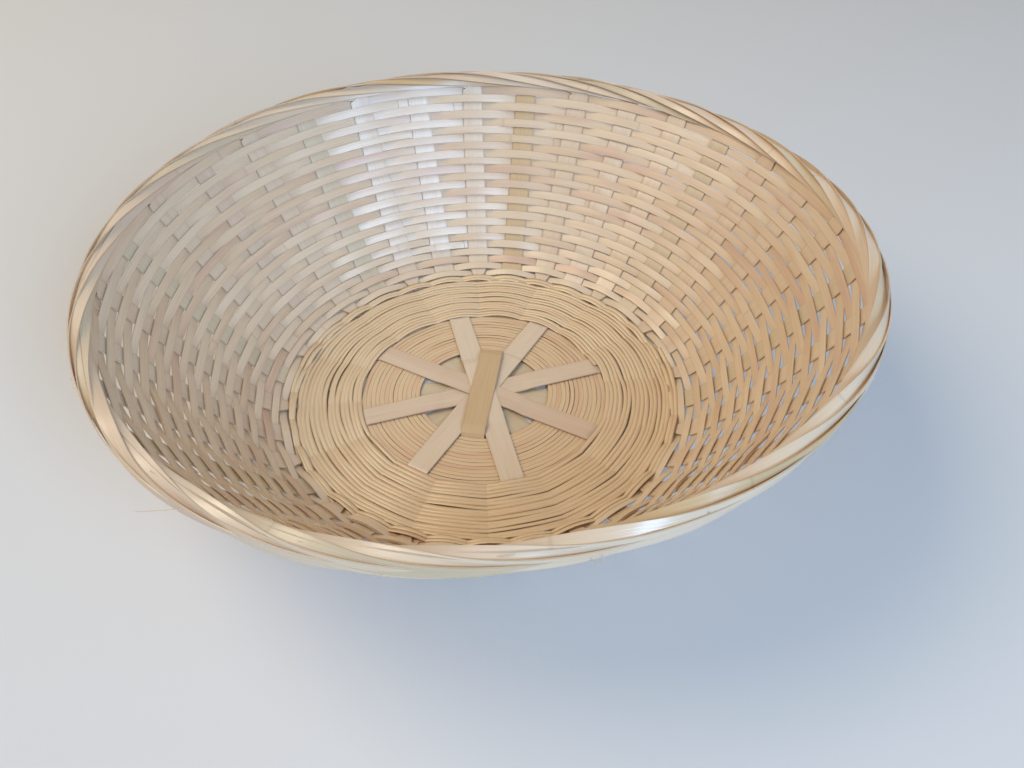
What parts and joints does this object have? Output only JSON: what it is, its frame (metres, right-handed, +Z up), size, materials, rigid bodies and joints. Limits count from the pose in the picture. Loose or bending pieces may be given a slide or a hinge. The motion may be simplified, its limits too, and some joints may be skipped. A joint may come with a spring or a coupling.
{
  "type": "wicker fruit bowl",
  "caption": "Round shallow bowl woven from flat bamboo splints, with a crossed-strip hub, fine-strand base, sloping checked wall and turned-over rim.",
  "frame": {"origin": "centre of the resting face under the hub", "axes": "+Z up out of the mouth of the bowl; +X to the right and +Y away from a viewer who stands in front"},
  "size_m": [0.318, 0.319, 0.094],
  "materials": {
    "stake_splint": "satin split bamboo",
    "weaver_splint": "satin split bamboo",
    "fine_strand": "matte split bamboo"
  },
  "bodies": {
    "root": {"base_strip_1": "stake_splint", "base_strip_2": "stake_splint", "base_strip_3": "stake_splint", "base_strip_4": "stake_splint", "base_strip_5": "stake_splint", "base_strip_6": "stake_splint", "base_strip_7": "stake_splint", "base_strip_8": "stake_splint", "side_stake_1": "stake_splint", "side_stake_2": "stake_splint", "side_stake_3": "stake_splint", "side_stake_4": "stake_splint", "side_stake_5": "stake_splint", "side_stake_6": "stake_splint", "side_stake_7": "stake_splint", "side_stake_8": "stake_splint", "side_stake_9": "stake_splint", "side_stake_10": "stake_splint", "side_stake_11": "stake_splint", "side_stake_12": "stake_splint", "side_stake_13": "stake_splint", "side_stake_14": "stake_splint", "side_stake_15": "stake_splint", "side_stake_16": "stake_splint", "weaver_row_1": "weaver_splint", "weaver_row_2": "weaver_splint", "weaver_row_3": "weaver_splint", "weaver_row_4": "weaver_splint", "weaver_row_5": "weaver_splint", "weaver_row_6": "weaver_splint", "weaver_row_7": "weaver_splint", "weaver_row_8": "weaver_splint", "weaver_row_9": "weaver_splint", "weaver_row_10": "weaver_splint", "weaver_row_11": "weaver_splint", "weaver_row_12": "weaver_splint", "weaver_row_13": "weaver_splint", "weaver_row_14": "weaver_splint", "weaver_row_15": "weaver_splint", "weaver_row_16": "weaver_splint", "weaver_row_17": "weaver_splint", "weaver_row_18": "weaver_splint", "weaver_row_19": "weaver_splint", "weaver_row_20": "weaver_splint", "weaver_row_21": "weaver_splint", "weaver_row_22": "weaver_splint", "weaver_row_23": "weaver_splint", "weaver_row_24": "weaver_splint", "weaver_row_25": "weaver_splint", "hub_disc_strand": "fine_strand", "edge_strand_1": "fine_strand", "edge_strand_2": "fine_strand"}
  },
  "joints": []
}
